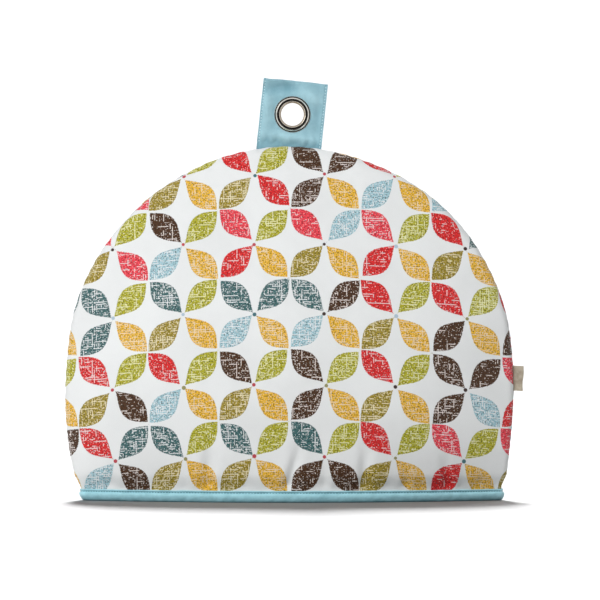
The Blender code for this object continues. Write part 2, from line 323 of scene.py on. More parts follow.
# Plain weave: threads cross over and under by turns, with a little slub
def buildWeave():
    tree, given, out = newGroup(
        "weave", (("Vector", "Vector"), ("Pitch", "Float")), (("Height", "Float"), ("Gaps", "Float"))
    )
    x, y, _ = separate(given["Vector"])
    x = calc("DIVIDE", x, given["Pitch"])
    y = calc("DIVIDE", y, given["Pitch"])
    flat = combine(x, y)
    waver = cloudNoise(flat, 0.13, 2.0)
    x = timesPlus(waver, 0.8, x)
    y = timesPlus(waver, 0.8, y)
    acrossThread = calc("ABSOLUTE", calc("SINE", times(x, math.pi)))
    upThread = calc("ABSOLUTE", calc("SINE", times(y, math.pi)))
    over = calc("FLOORED_MODULO", plus(calc("FLOOR", x), calc("FLOOR", y)), 2.0)
    warp = times(acrossThread, timesPlus(upThread, 0.35, 0.65))
    weft = times(upThread, timesPlus(acrossThread, 0.35, 0.65))
    height = plus(times(warp, over), times(weft, minus(1.0, over)))
    slub = cloudNoise(vecCalc("MULTIPLY", flat, (0.9, 0.12, 0.0)), 1.0)
    height = times(height, timesPlus(slub, 0.5, 0.75))
    plug(height, out["Height"])
    # Gaps marks the low places between threads, which the cloths darken as painted shade
    plug(between(height, 0.05, 0.45, 1.0, 0.0), out["Gaps"])
    return tree


# Uneven dye and wear, from Low to High
def buildMottle():
    tree, given, out = newGroup(
        "mottle",
        (("Vector", "Vector"), ("Size", "Float"), ("Low", "Float"), ("High", "Float")),
        (("Value", "Float"),),
    )
    scaled = vecCalc("DIVIDE", given["Vector"], combine(given["Size"], given["Size"], 1.0))
    cloud = cloudNoise(scaled, 1.0, 3.0, 0.55)
    plug(between(cloud, 0.3, 0.7, given["Low"], given["High"]), out["Value"])
    return tree


# Leaf colours by where a leaf stands round its dot: each colour runs from its number to the next
motif = {
    "wide": 0.0528,
    "tall": 0.0535,
    "firstRow": 0.034,
    "inks": {"lime": "A39F24", "red": "CE2425", "rose": "DC3C49", "olive": "938028", "mustard": "D8A830",
             "brown": "412509", "teal": "3B6162", "paleBlue": "96B9C3"},
    "upRight": ((0.0, "lime"), (0.59, "brown"), (0.78, "teal"), (0.89, "paleBlue")),
    "upLeft": ((0.0, "red"), (0.44, "rose"), (0.59, "brown"), (0.78, "teal"), (0.97, "paleBlue")),
    "downLeft": ((0.0, "olive"), (0.57, "paleBlue"), (0.75, "brown"), (0.86, "red"), (0.97, "teal")),
    "downRight": ((0.0, "mustard"), (0.68, "red"), (0.81, "brown"), (0.91, "paleBlue"), (0.97, "rose")),
    "dots": ((0.0, "3C2A26"), (0.3, "B3424C"), (0.5, "A9BCCB"), (0.68, "3F6A72"), (0.82, "8E8A5A")),
    "start": 0.076,  # of half a repeat, from the dot to the leaf's tip
    "length": 1.3,
    "halfWidth": 0.342,
    "fullness": 1.15,
    "ragged": (1100.0, 0.045),  # how fine and how deep the edge is frayed
    "slip": 0.07,  # how unevenly the screens were laid
    "redHigh": 0.034,  # and how much higher the reds were
    "dotRadius": 0.00145,
    "threads": 600.0,  # to the metre
    "weft": (110.0, 0.545),  # how short the bare runs are, and how rare
    "warp": (150.0, 0.58),
    "specks": (((620.0, 1250.0, 1.0), 0.685), ((1250.0, 700.0, 1.0), 0.715)),
    "slubs": 0.16,  # how much single threads differ
    "worn": (120.0, 0.11),  # size and strength of the barer patches
    "outlineCovers": 0.82,
    "tone": (900.0, 3.5, -0.73, 1.15),  # how fine, how strong, how dark and how light the ink may be
    "stain": 0.41,
    "redStain": 0.24,  # less of it in the reds
}


def fromHalf(value, most):
    return times(minus(value, 0.5), most)


def bareThreads(along, across, worn, runs, rare):
    # stretches of single threads that took no ink, narrower where another thread crosses
    thread = times(across, motif["threads"])
    number = calc("FLOOR", thread)
    run = combine(times(along, runs), times(number, 7.31))
    slub, _ = chance(number, runs, 5.0)
    worn = plus(fromHalf(slub, motif["slubs"]), worn)
    missing = between(plus(cloudNoise(run, 1.0, 2.0), worn), rare, rare + 0.05)
    ways = [calc("FRACT", way) for way in (thread, times(along, motif["threads"]))]
    middle, crossing = (calc("ABSOLUTE", minus(way, 0.5)) for way in ways)
    line = times(missing, between(middle, 0.14, 0.22, 1.0, 0.0))
    return times(line, between(crossing, 0.2, 0.4, 1.0, 0.82))


def buildLeafPrint():
    tree, given, out = newGroup(
        "leafPrint",
        (("Vector", "Vector"), ("Shift", "Vector"), ("Seed", "Float"), ("Ground", "Color")),
        (("Color", "Color"), ("Ink", "Float")),
    )
    moved = vecCalc("SUBTRACT", given["Vector"], given["Shift"])
    u, v, _ = separate(moved)
    halfWide, halfTall = 0.5 * motif["wide"], 0.5 * motif["tall"]
    a = minus(calc("DIVIDE", u, halfWide), 1.0)
    b = calc("DIVIDE", v, halfTall)
    column, row = (calc("FLOOR", place) for place in (a, b))
    oddColumn, oddRow = (calc("FLOORED_MODULO", cell, 2.0) for cell in (column, row))

    pick, slips = chance(column, row, given["Seed"])
    quarters = []
    for corner in ("upRight", "upLeft", "downRight", "downLeft"):
        stops = [(position, motif["inks"][ink]) for position, ink in motif[corner]]
        quarters.append(colorSteps(pick, stops))
    upper = mixColors(oddColumn, quarters[0], quarters[1])
    lower = mixColors(oddColumn, quarters[2], quarters[3])
    leafColor = mixColors(oddRow, upper, lower)
    red, green, blue = follow("ShaderNodeSeparateColor", leafColor).outputs
    isRed = calc("GREATER_THAN", timesPlus(green, -2.5, red), 0.3)

    # p and q run from the dot towards the middle of the next four leaves
    slipA, slipB, dense = separate(slips)
    slipB = timesPlus(isRed, motif["redHigh"] / motif["slip"], slipB)
    fromDot = []
    for place, cell, odd, slip in ((a, column, oddColumn, slipA), (b, row, oddRow, slipB)):
        slid = fromHalf(slip, motif["slip"])
        away = minus(minus(place, plus(cell, odd)), slid)
        fromDot.append(times(away, timesPlus(odd, -2.0, 1.0)))
    p, q = fromDot
    along = times(plus(p, q), math.sqrt(0.5))
    cross = times(calc("ABSOLUTE", minus(p, q)), math.sqrt(0.5))
    share = calc("DIVIDE", minus(along, motif["start"]), motif["length"])
    share = calc("MINIMUM", calc("MAXIMUM", share, 0.0), 1.0)
    swell = calc("POWER", share, motif["fullness"])
    swell = calc("SINE", times(swell, math.pi))
    fine, deep = motif["ragged"]
    ragged = fromHalf(cloudNoise(moved, fine), deep)
    inside = plus(minus(times(swell, motif["halfWidth"]), cross), ragged)
    leaf = between(inside, -0.004, 0.014)
    outline = between(inside, 0.014, 0.034, 1.0, 0.0)

    # bare threads across and up, and specks, as dry ink leaves them on coarse cloth
    size, strength = motif["worn"]
    worn = plus(fromHalf(cloudNoise(moved, size), strength), fromHalf(dense, 0.05))
    isDeep = calc("LESS_THAN", green, 0.05)
    worn = timesPlus(isDeep, -0.045, worn)  # brown and red cover the cloth better
    bare = 0.0
    for stretched, rare in motif["specks"]:
        specks = cloudNoise(vecCalc("MULTIPLY", moved, stretched), 1.0, 0.0)
        specks = between(plus(specks, worn), rare, rare + 0.09, 0.0, 0.95)
        bare = calc("MAXIMUM", bare, specks)
    bare = calc("MAXIMUM", bare, bareThreads(u, v, worn, *motif["weft"]))
    bare = calc("MAXIMUM", bare, bareThreads(v, u, worn, *motif["warp"]))
    bare = times(bare, timesPlus(outline, -motif["outlineCovers"], 1.0))
    ink = times(leaf, minus(1.0, bare))
    fine, strong, dark, light = motif["tone"]
    tone = timesPlus(cloudNoise(moved, fine, 2.0), strong, dark)
    leafTone = shaded(leafColor, calc("MINIMUM", tone, light))

    nearest = [times(calc("ROUND", times(place, 0.5)), 2.0) for place in (a, b)]
    dotPick, dotSlips = chance(*nearest, plus(given["Seed"], 7.0))
    dotSlipA, dotSlipB, dotSize = separate(dotSlips)
    off = []
    for place, near, slip in ((a, nearest[0], dotSlipA), (b, nearest[1], dotSlipB)):
        off.append(minus(minus(place, near), fromHalf(slip, motif["slip"])))
    distance = lengthOf(vecCalc("MULTIPLY", combine(*off), (halfWide, halfTall, 0.0)))
    radius = times(timesPlus(dotSize, 0.3, 0.8), motif["dotRadius"])
    dot = between(minus(radius, distance), -0.00015, 0.0002)

    # the bare threads of the warm leaves took a stain of their ink
    most = calc("MAXIMUM", red, green)
    stain = timesPlus(isRed, -motif["redStain"], motif["stain"])
    stain = times(stain, between(red, 0.0, 0.3, 0.35, 1.0))
    stain = times(leaf, times(calc("GREATER_THAN", red, blue), stain))
    bright = vecCalc("DIVIDE", leafColor, combine(most, most, most))
    stained = mixColors(1.0, given["Ground"], bright, "MULTIPLY")
    bareColor = mixColors(stain, given["Ground"], stained)

    color = mixColors(ink, bareColor, leafTone)
    color = mixColors(dot, color, colorSteps(dotPick, motif["dots"]))
    plug(color, out["Color"])
    plug(calc("MAXIMUM", ink, dot), out["Ink"])
    return tree


weave = buildWeave()
mottle = buildMottle()
printing = buildLeafPrint()


def newMaterial(name):
    material = bpy.data.materials.new(name)
    material.use_nodes = True
    tree = material.node_tree
    return material, tree, tree.nodes["Principled BSDF"]


def addBump(tree, shader, height, strength, distance):
    node = addNode(tree, "ShaderNodeBump")
    fillIn(node, {"Strength": strength, "Distance": distance, "Height": height})
    plug(node.outputs[0], shader.inputs["Normal"])


def clothParts(tree, pitch, size, low, high):
    place = addNode(tree, "ShaderNodeUVMap", uv_map="cloth").outputs[0]
    threads = useGroup(tree, weave, {"Vector": place, "Pitch": pitch})
    cloud = useGroup(tree, mottle, {"Vector": place, "Size": size, "Low": low, "High": high})
    return place, threads, cloud["Value"]


def makePrintedCotton(name, shift, seed):
    material, tree, shader = newMaterial(name)
    place, threads, cloud = clothParts(tree, 0.00055, 0.045, 0.955, 1.0)
    ground = shaded(paint("E4E6E6"), cloud)
    printed = useGroup(tree, printing, {"Vector": place, "Shift": shift, "Seed": seed, "Ground": ground})
    # painted shade: darker in the gaps between threads
    color = shaded(printed["Color"], timesPlus(threads["Gaps"], -0.1, 1.0))
    roughness = between(printed["Ink"], 0.0, 1.0, 0.88, 0.74)
    fillIn(shader, {"Base Color": color, "Roughness": roughness, "Sheen Weight": 0.12})
    crinkle = times(cloudNoise(place, 210.0, 3.0), 3.0)
    addBump(tree, shader, plus(threads["Height"], crinkle), 0.35, 0.00022)
    return material


def makePlainCloth(name, dark, light, pitch, size, roughness, bump, sheen, shadeAndToneShare=0.0):
    # creased is how much of the colour follows the crease attribute, which holds painted shade of the
    # piece's folds, groove and foot, with some uneven tone
    material, tree, shader = newMaterial(name)
    _, threads, cloud = clothParts(tree, pitch, size, 0.0, 1.0)
    if shadeAndToneShare:
        paintedShadeAndTone = addNode(tree, "ShaderNodeAttribute", attribute_name="paintedShadeAndTone")
        cloud = mixColors(shadeAndToneShare, cloud, paintedShadeAndTone.outputs["Fac"])
    color = mixColors(cloud, paint(dark), paint(light))
    # painted shade: darker in the gaps between threads
    color = shaded(color, timesPlus(threads["Gaps"], -0.16, 1.0))
    uneven = between(threads["Height"], 0.0, 1.0, roughness + 0.08, roughness)
    fillIn(shader, {"Base Color": color, "Roughness": uneven, "Sheen Weight": sheen})
    addBump(tree, shader, threads["Height"], bump, 0.0002)
    return material


def makeMetal(name, middle, throat):
    # painted shade: the throat is coloured duller and warmer than the face, standing in for the darker
    # reflections inside it
    material, tree, shader = newMaterial(name)
    place = addNode(tree, "ShaderNodeTexCoord").outputs["Object"]
    flat = vecCalc("MULTIPLY", vecCalc("SUBTRACT", place, middle), (1.0, 0.0, 1.0))
    outsidePaintedThroat = between(lengthOf(flat), throat, throat + 0.0004)
    wear = cloudNoise(place, 260.0, 4.0, dimensions="3D")
    color = mixColors(wear, paint("D9D3C8"), paint("EDE9E1"))
    color = mixColors(outsidePaintedThroat, paint("CFC5B6"), color)
    roughness = between(wear, 0.3, 0.8, 0.035, 0.075)
    fillIn(shader, {"Base Color": color, "Metallic": 1.0, "Roughness": roughness})
    return material


def makeThread(name, dark, light):
    material, tree, shader = newMaterial(name)
    twist = addNode(tree, "ShaderNodeTexWave")
    place = addNode(tree, "ShaderNodeTexCoord").outputs["Object"]
    fillIn(twist, {"Vector": place, "Scale": 900.0, "Distortion": 1.5})
    color = mixColors(twist.outputs["Fac"], paint(dark), paint(light))
    fillIn(shader, {"Base Color": color, "Roughness": 0.6})
    return material


printedFront = makePrintedCotton("printedCottonFront", (0.0, motif["firstRow"], 0.0), 3.0)
printedBack = makePrintedCotton("printedCottonBack", (0.019, motif["firstRow"] - 0.021, 0.0), 11.0)
# pitch is one thread, size is how far apart the pale and dark places are
plainCotton = makePlainCloth("plainCotton", "DEDBD2", "EAE7DF", pitch=0.0006, size=0.05,
                             roughness=0.86, bump=0.35, sheen=0.1)
biasTape = makePlainCloth("biasTape", "74ABB8", "ACE0EB", pitch=0.00055, size=0.007,
                          roughness=0.45, bump=0.5, sheen=0.25, shadeAndToneShare=0.75)
tabCotton = makePlainCloth("tabCotton", "78A8B7", "AFD9E4", pitch=0.0009, size=0.009,
                           roughness=0.5, bump=0.9, sheen=0.25, shadeAndToneShare=0.75)
labelTape = makePlainCloth("labelTape", "9D9280", "B9AF9D", pitch=0.0005, size=0.006,
                           roughness=0.82, bump=0.5, sheen=0.1)
# painted shade: the hem thread is darker than the tape, standing in for the shade in the stitch groove
hemThreadPaintedShade = makeThread("hemThreadPaintedShade", "4A7785", "6794A2")
tabThread = makeThread("tabThread", "C2E3EA", "DDF1F6")
print("materials made")


panel = {
    "columns": 166,
    "lowRows": 44,
    "lowTop": 0.085,
    "capRows": 86,
    "noseSteps": 12,
    "swells": ((13.0, 0.0, 0.001), (38.0, 5.0, 0.0004)),  # how close together, which, and how high
    "seamGroove": 0.0013,
    "gatherPitch": 0.0085,
    "gatherDepth": 0.00022,
    "hemGatherPitch": 0.0105,
    "hemGatherDepth": 0.00042,
    "hemGatherFade": 0.007,
    "archUp": 0.298,  # the cloth's own length over the bowed wall
    "archOut": 0.277,  # its rows hang lower towards the sides
    "hemEase": 0.02,  # and it is drawn in at the hem
}
# where the cloth is eased into the hem: place along it, depth, width, height and lean of each soft trough
frontPuckers = (
    (-0.131, 0.0013, 0.0048, 0.024, 0.1),
    (-0.0955, 0.0007, 0.004, 0.02, -0.1),
    (-0.059, 0.0026, 0.006, 0.046, 0.05),
    (-0.03, 0.0007, 0.004, 0.022, 0.1),
    (-0.001, 0.0023, 0.0052, 0.042, 0.25),
    (0.0243, 0.0012, 0.0042, 0.024, 0.05),
    (0.054, 0.0022, 0.0056, 0.04, 0.02),
    (0.085, 0.0007, 0.004, 0.02, -0.05),
    (0.116, 0.0016, 0.005, 0.03, -0.2),
    (0.139, 0.0009, 0.004, 0.018, 0.05),
)
backPuckers = (
    (-0.12, 0.0015, 0.005, 0.026, 0.1),
    (-0.074, 0.002, 0.0055, 0.038, -0.1),
    (-0.036, 0.0012, 0.0046, 0.028, 0.15),
    (0.012, 0.0024, 0.006, 0.044, -0.06),
    (0.047, 0.0009, 0.0042, 0.022, 0.1),
    (0.09, 0.0021, 0.0056, 0.036, 0.08),
    (0.13, 0.0011, 0.0044, 0.022, -0.12),
)

capBase = panel["lowTop"]
capX = (rimReaches - cosy["liftOut"]) * np.cos(rimTurns)
capZ = (rimReaches - cosy["liftOut"]) * np.sin(rimTurns) - capBase
capWays = np.arctan2(capZ, capX)[capZ >= 0.0]
capReaches = np.hypot(capX, capZ)[capZ >= 0.0]


def sheetPlace(u, row):
    if row <= panel["lowRows"]:
        z = cosy["hemFloor"] + (panel["lowTop"] - cosy["hemFloor"]) * row / panel["lowRows"]
        return u * sheetHalfWidth(u, z), z
    v = (row - panel["lowRows"]) / panel["capRows"]
    discX = u * math.sqrt(1.0 - 0.5 * v * v)
    discZ = v * math.sqrt(1.0 - 0.5 * u * u)
    way = math.atan2(discZ, discX)
    reach = math.hypot(discX, discZ) * float(np.interp(way, capWays, capReaches))
    return reach * math.cos(way), capBase + reach * math.sin(way)


def relief(x, z, turn, puckers, seed):
    # soft swells, the puckers over the binding, and the gathers and groove along the seam
    free = puffed(z, 0.0, 1.0)
    swells = [ripple(x * close, z * close, seed + which) * high for close, which, high in panel["swells"]]
    lift = sum(swells) * free
    above = z - cosy["puffStart"]
    if above > 0.0:
        gather = math.sin(2.0 * math.pi * x / panel["hemGatherPitch"] + 5.0 * ripple(x * 22.0, 0.0, seed))
        fade = smooth(above, 0.0, 0.003) * math.exp(-above / panel["hemGatherFade"])
        lift += gather * panel["hemGatherDepth"] * fade
    for place, depth, width, height, lean in puckers:
        off = (x - place - lean * above) / width
        if abs(off) < 3.0 and 0.0 < above < height:
            fade = smooth(above, 0.0, 0.004) * (1.0 - smooth(above, 0.25 * height, height))
            lift -= depth * (1.0 - 1.1 * off * off) * math.exp(-off * off) * fade
    along = math.atan2(z, x) * 0.2
    gather = math.sin(2.0 * math.pi * along / panel["gatherPitch"] + 4.0 * ripple(x * 30.0, z * 30.0, seed))
    lift += gather * panel["gatherDepth"] * smooth(turn, 0.15, 0.9) * free
    return lift - panel["seamGroove"] * smooth(turn, 0.72, 1.0)


def makePanel(name, side, material, puckers, seed, node):
    rows = panel["lowRows"] + panel["capRows"]
    bm, layers = newGrid(panel["columns"], rows, "sheetX", "sheetZ", "rolled", "flatU", "flatV")
    sheetX, sheetZ, rolled, flatU, flatV = layers
    hem = set()
    for vert in bm.verts:
        row = round((vert.co.y + 1.0) * 0.5 * rows)
        vert[sheetX], vert[sheetZ] = sheetPlace(vert.co.x, row)
        if row == 0:
            hem.add(vert)
    rim = [edge for edge in bm.edges if edge.is_boundary and not hem.issuperset(edge.verts)]
    for step in range(1, panel["noseSteps"] + 1):
        made = bmesh.ops.extrude_edge_only(bm, edges=rim)["geom"]
        newVerts = {item for item in made if isinstance(item, bmesh.types.BMVert)}
        newEdges = [item for item in made if isinstance(item, bmesh.types.BMEdge)]
        rim = [edge for edge in newEdges if newVerts.issuperset(edge.verts)]
        for vert in newVerts:
            vert[rolled] = step / panel["noseSteps"]
    for vert in bm.verts:
        x, z, turn = vert[sheetX], vert[sheetZ], vert[rolled]
        lift = puffed(z, cosy["hemLiftOut"], cosy["liftOut"]) + relief(x, z, turn, puckers, seed)
        vert.co, roll = wallPoint(x, z, lift, turn)
        drawnIn = 1.0 + panel["hemEase"] * (1.0 - smooth(z, 0.02, 0.075))
        vert[flatU] = x * drawnIn + roll.x
        vert[flatV] = z * (1.0 + panel["archUp"] * z * z) + panel["archOut"] * x * x + roll.y
        if side > 0:
            vert.co.y = -vert.co.y
            vert[flatU] = -vert[flatU]
    finishCloth(bm, flatU, flatV)
    heart = Vector((0.0, side * 0.05, 0.1))
    middle = min(bm.faces, key=lambda face: (face.calc_center_median() - heart).length)
    if middle.normal.y * side < 0.0:
        bmesh.ops.reverse_faces(bm, faces=bm.faces)
    obj = pieceFrom(bm, name, material, plainCotton)
    thin = cosy["hemLiftOut"] - cosy["hemLiftIn"]
    full = cosy["liftOut"] - cosy["liftIn"]
    wadding = obj.vertex_groups.new(name="wadding")
    for vert in obj.data.vertices:
        wadding.add([vert.index], puffed(vert.co.z, thin, full) / full, "REPLACE")
    solidify = addThickness(obj, "wadding", full, -1.0)
    solidify.vertex_group = "wadding"
    solidify.material_offset = 1
    solidify.material_offset_rim = 1
    bakeModifiers(obj)
    for vert in obj.data.vertices:
        vert.co.y = side * max(vert.co.y * side, seamGapAt(vert.co.x, vert.co.z))
        vert.co.z = max(vert.co.z, cosy["hemFloor"])
    finishPiece(obj, (node,))
    print(name, "made,", len(obj.data.vertices), "points")
    return obj


tab = {
    "width": 0.0484,
    "length": 0.0492,
    "root": 0.005,
    "layer": 0.00105,
    "between": 0.00012,
    "lean": math.radians(6.0),
    "x": -0.0004,
    "foot": 0.2655,
    "columns": 116,
    "rows": 92,
    "foldRows": 8,
    "hole": 0.0098,
    "eyeletUp": 0.0239,  # the middle of the hole above the seam
    "corner": 0.00032,
    "stitchInset": 0.0013,
    "stitchPitch": 0.00215,
    "stitchLength": 0.0014,
    "stitchThick": 0.00064,
    "drawnIn": 0.62,  # how much the stitches press the two layers together
    "gather": 0.00045,
    "unevenFold": 0.00045,
    "foldDip": (0.019, 0.004, 0.0004),  # how far left, half as wide, and how deep
    "paintedFoldShade": 260.0,  # painted shade: how quickly the colour darkens over the soft folds' hollows
}
# soft folds of the tab: middle across and up, how far back, reach along and across, and turn
tabFolds = (
    (-0.01, 0.043, 0.0026, 0.016, 0.0046, 0.16),
    (0.012, 0.0395, -0.0018, 0.01, 0.005, -0.6),
    (0.019, 0.024, 0.001, 0.0034, 0.012, 0.0),
    (-0.0195, 0.026, -0.0018, 0.004, 0.011, 0.1),
    (0.002, 0.0066, -0.0015, 0.026, 0.0032, -0.03),
)
label = {
    "height": 0.0188,
    "middle": 0.0915,
    "out": 0.0069,
    "root": 0.005,
    "layer": 0.00048,
    "between": 0.0001,
    "lean": math.radians(3.0),
    "curl": 0.0009,
    "unevenFold": 0.00025,
    "columns": 24,
    "rows": 14,
    "foldRows": 6,
}


def seamGapAt(x, z):
    # the seam opens a little round the tab and the label that are sewn into it
    gap = cosy["seamGap"]
    if z > 0.2:
        beside = abs(x - tab["x"] - (z - tab["foot"]) * math.tan(tab["lean"])) - 0.5 * tab["width"]
        deep = tab["layer"] + 0.5 * tab["between"] + 0.00035
        gap += (deep - gap) * (1.0 - smooth(beside, 0.0003, 0.0045))
    if x > 0.12:
        beside = abs(z - label["middle"]) - 0.5 * label["height"]
        deep = label["layer"] + 0.5 * label["between"] + 0.0003
        gap += (deep - gap) * (1.0 - smooth(beside, 0.0003, 0.0035))
    return gap


frontPanel = makePanel("frontPanel", -1.0, printedFront, frontPuckers, 1.7, "panel_front")
makePanel("backPanel", 1.0, printedBack, backPuckers, 8.3, "panel_back")


binding = {
    "columns": 150,
    "nose": 10,
    "waver": 0.00022,
    # half the section, from the middle of the foot to the inside of the fold: out and up
    "section": (
        (0.0, 0.0), (0.0013, 0.0), (0.0022, 0.00003), (0.0028, 0.00024), (0.00325, 0.0007),
        (0.00362, 0.00135), (0.0039, 0.002), (0.00412, 0.0028), (0.00428, 0.0037), (0.0043, 0.0046),
        (0.0041, 0.0055), (0.0035, 0.0062), (0.0028, 0.00668), (0.00252, 0.007), (0.00262, 0.0073),
        (0.00292, 0.0076), (0.00312, 0.0079), (0.00316, 0.0082), (0.00302, 0.0085), (0.00272, 0.0087),
        (0.00242, 0.00862), (0.00222, 0.0084), (0.00212, 0.008), (0.0021, 0.006), (0.0021, 0.0036),
        (0.00208, 0.0018), (0.0018, 0.00125), (0.001, 0.0011), (0.0, 0.0011),
    ),
    "grooveUp": 0.007,
    "paintedShadeUp": 0.005,  # painted shade: darker up to here, where the binding rolls under towards the floor
    "grooveOut": 0.00256,
    "stitchPitch": 0.00225,
    "stitchLength": 0.0015,
    "stitchThick": 0.00062,
}
hemMiddle = 0.5 * (cosy["hemLiftOut"] + cosy["hemLiftIn"])


def hemStations():
    # once round the hem: place across, how far over the end it has rolled, and which wall
    columns, nose = binding["columns"], binding["nose"]
    stations = []
    for wall in (-1.0, 1.0):
        stations += [(wall - 2.0 * wall * i / columns, 0.0, wall) for i in range(columns + 1)]
        stations += [(-wall, i / nose, wall) for i in range(1, nose)]
        stations += [(-wall, 1.0 - i / nose, -wall) for i in range(nose)]
    return stations


def hemPoint(station, lift, up):
    u, turn, side = station
    x = u * sheetHalfWidth(u, up)
    point = wallPoint(x, up, lift, turn)[0]
    return Vector((point.x, point.y if side < 0 else -point.y, up))


def alongHem(lift, up):
    points = [hemPoint(station, lift, up) for station in hemStations()]
    return points + points[:1]


def makeBinding():
    half = binding["section"]
    section = [(out, up) for out, up in half] + [(-out, up) for out, up in reversed(half[1:-1])]
    sectionRun = runLengths([Vector(point) for point in section + section[:1]])
    hemRun = runLengths(alongHem(hemMiddle, 0.005))
    stations = hemStations()
    across, around = len(stations), len(section)
    bm, (flatU, flatV, paintedShadeAndTone) = newGrid(across, around, "flatU", "flatV", "paintedShadeAndTone")
    for vert in bm.verts:
        i = round((vert.co.x + 1.0) * 0.5 * across)
        j = round((vert.co.y + 1.0) * 0.5 * around)
        vert[flatU], vert[flatV] = hemRun[i], sectionRun[j]
        out, up = section[j % around]
        turnAround = 2.0 * math.pi * hemRun[i] / hemRun[-1]
        ringX, ringY = 6.0 * math.cos(turnAround), 6.0 * math.sin(turnAround)
        # painted shade: darker towards the foot and in the stitch groove; the ripple adds uneven tone
        lit = 0.4 + 0.6 * smooth(up, 0.0, binding["paintedShadeUp"])
        lit -= 0.6 * math.exp(-((up - binding["grooveUp"]) / 0.0005) ** 2)
        lit += 0.5 * ripple(ringX * 4.0 + up * 300.0, ringY * 4.0 + 9.0, 0.0)
        vert[paintedShadeAndTone] = min(1.0, max(0.0, lit))
        soft = ripple(ringX * 1.3, ringY * 1.3, up * 300.0) * smooth(up, 0.001, 0.004)
        if out:
            out += math.copysign(binding["waver"], out) * soft
        vert.co = hemPoint(stations[i % across], hemMiddle + out, up)
        vert.co.z = up + 0.00018 * ripple(ringX * 2.2 + 5.0, ringY * 2.2, 0.0) * smooth(up, 0.006, 0.0085)
    finishCloth(bm, flatU, flatV, weld=0.00001)
    return finishPiece(pieceFrom(bm, "hemBinding", biasTape), ("hem_binding",)), hemRun[-1]


def sewStitches(bm, points, outwards, row):
    # short stitches along points, sized by the row's piece, each lying on the cloth with outwards up
    runs = runLengths(points)
    count = int(runs[-1] / row["stitchPitch"])
    thick = 0.5 * row["stitchThick"]
    ball = bmesh.new()
    bmesh.ops.create_uvsphere(ball, u_segments=6, v_segments=5, radius=1.0,
                              matrix=Matrix.Rotation(0.5 * math.pi, 4, "Y"))
    stitch = bpy.data.meshes.new("stitch")
    for n in range(count):
        middle = (n + 0.5) * runs[-1] / count
        k = max(i for i in range(len(runs) - 1) if runs[i] <= middle)
        t = (middle - runs[k]) / (runs[k + 1] - runs[k])
        place = points[k].lerp(points[k + 1], t)
        out = outwards[k].lerp(outwards[k + 1], t).normalized()
        run = (points[k + 1] - points[k]).normalized()
        side = out.cross(run).normalized()
        run = side.cross(out)
        long = 0.5 * row["stitchLength"] * (1.0 + 0.12 * math.sin(n * 2.4))
        axes = Matrix((run * long, side * thick, out * thick)).transposed().to_4x4()
        ball.to_mesh(stitch)
        stitch.transform(Matrix.Translation(place) @ axes)
        bm.from_mesh(stitch)
    ball.free()
    bpy.data.meshes.remove(stitch)


def makeHemStitches(name, side):
    lift = hemMiddle + binding["grooveOut"] * side
    points = alongHem(lift, binding["grooveUp"])
    further = alongHem(lift + 0.001 * side, binding["grooveUp"])
    outwards = [(b - a).normalized() for a, b in zip(points, further)]
    bm = bmesh.new()
    sewStitches(bm, points, outwards, binding)
    return finishPiece(pieceFrom(bm, name, hemThreadPaintedShade), ())


hemBinding, hemLength = makeBinding()
hemStitches = [makeHemStitches("hemStitchesOutside", 1.0), makeHemStitches("hemStitchesInside", -1.0)]
print("binding made,", round(hemLength, 4), "m round")


def tabPlace(x, z, y=0.0):
    # from the tab's own plane to the cosy
    spun = Matrix.Rotation(tab["lean"], 3, "Y") @ Vector((x, y, z))
    return spun + Vector((tab["x"], 0.0, tab["foot"]))


def tabWave(x, z):
    # the strip isn't quite flat, and it gathers a little where it enters the seam
    wave = 0.0004 * ripple(x * 60.0, z * 60.0, 2.0)
    for middleX, middleZ, depth, reach, width, turn in tabFolds:
        along = (x - middleX) * math.cos(turn) + (z - middleZ) * math.sin(turn)
        across = (z - middleZ) * math.cos(turn) - (x - middleX) * math.sin(turn)
        wave += depth * math.exp(-(along / reach) ** 2 - (across / width) ** 2)
    gather = tab["gather"] * math.sin(x * 640.0 + 3.0 * ripple(x * 60.0, 0.0, 9.0))
    wave += gather * smooth(z, -0.001, 0.002) * (1.0 - smooth(z, 0.002, 0.011))
    fromEyelet = math.hypot(x, z - tab["eyeletUp"])
    return wave * smooth(fromEyelet, 0.0125, 0.0165) * smooth(z, -0.0005, 0.003)


def fromStitches(x):
    return abs(0.5 * tab["width"] - tab["stitchInset"] - abs(x))


def foldSizes(strip, length):
    # half the space between the layers' middles, where the fold starts, and the strip's whole length
    half = 0.5 * (strip["layer"] + strip["between"])
    top = length - half - 0.5 * strip["layer"]
    return half, top, 2.0 * (top + strip["root"]) + math.pi * half


def foldPath(strip, t, top, half):
    # up one side, over the fold and down the other: returns y and z for t from 0 to 1
    rows, foldRows, bottom = strip["rows"], strip["foldRows"], -strip["root"]
    step = t * (2 * rows + foldRows)
    if step <= rows:
        return half, bottom + (top - bottom) * step / rows
    if step >= rows + foldRows:
        return -half, top - (top - bottom) * (step - rows - foldRows) / rows
    turn = math.pi * (step - rows) / foldRows
    return half * math.cos(turn), top + half * math.sin(turn)


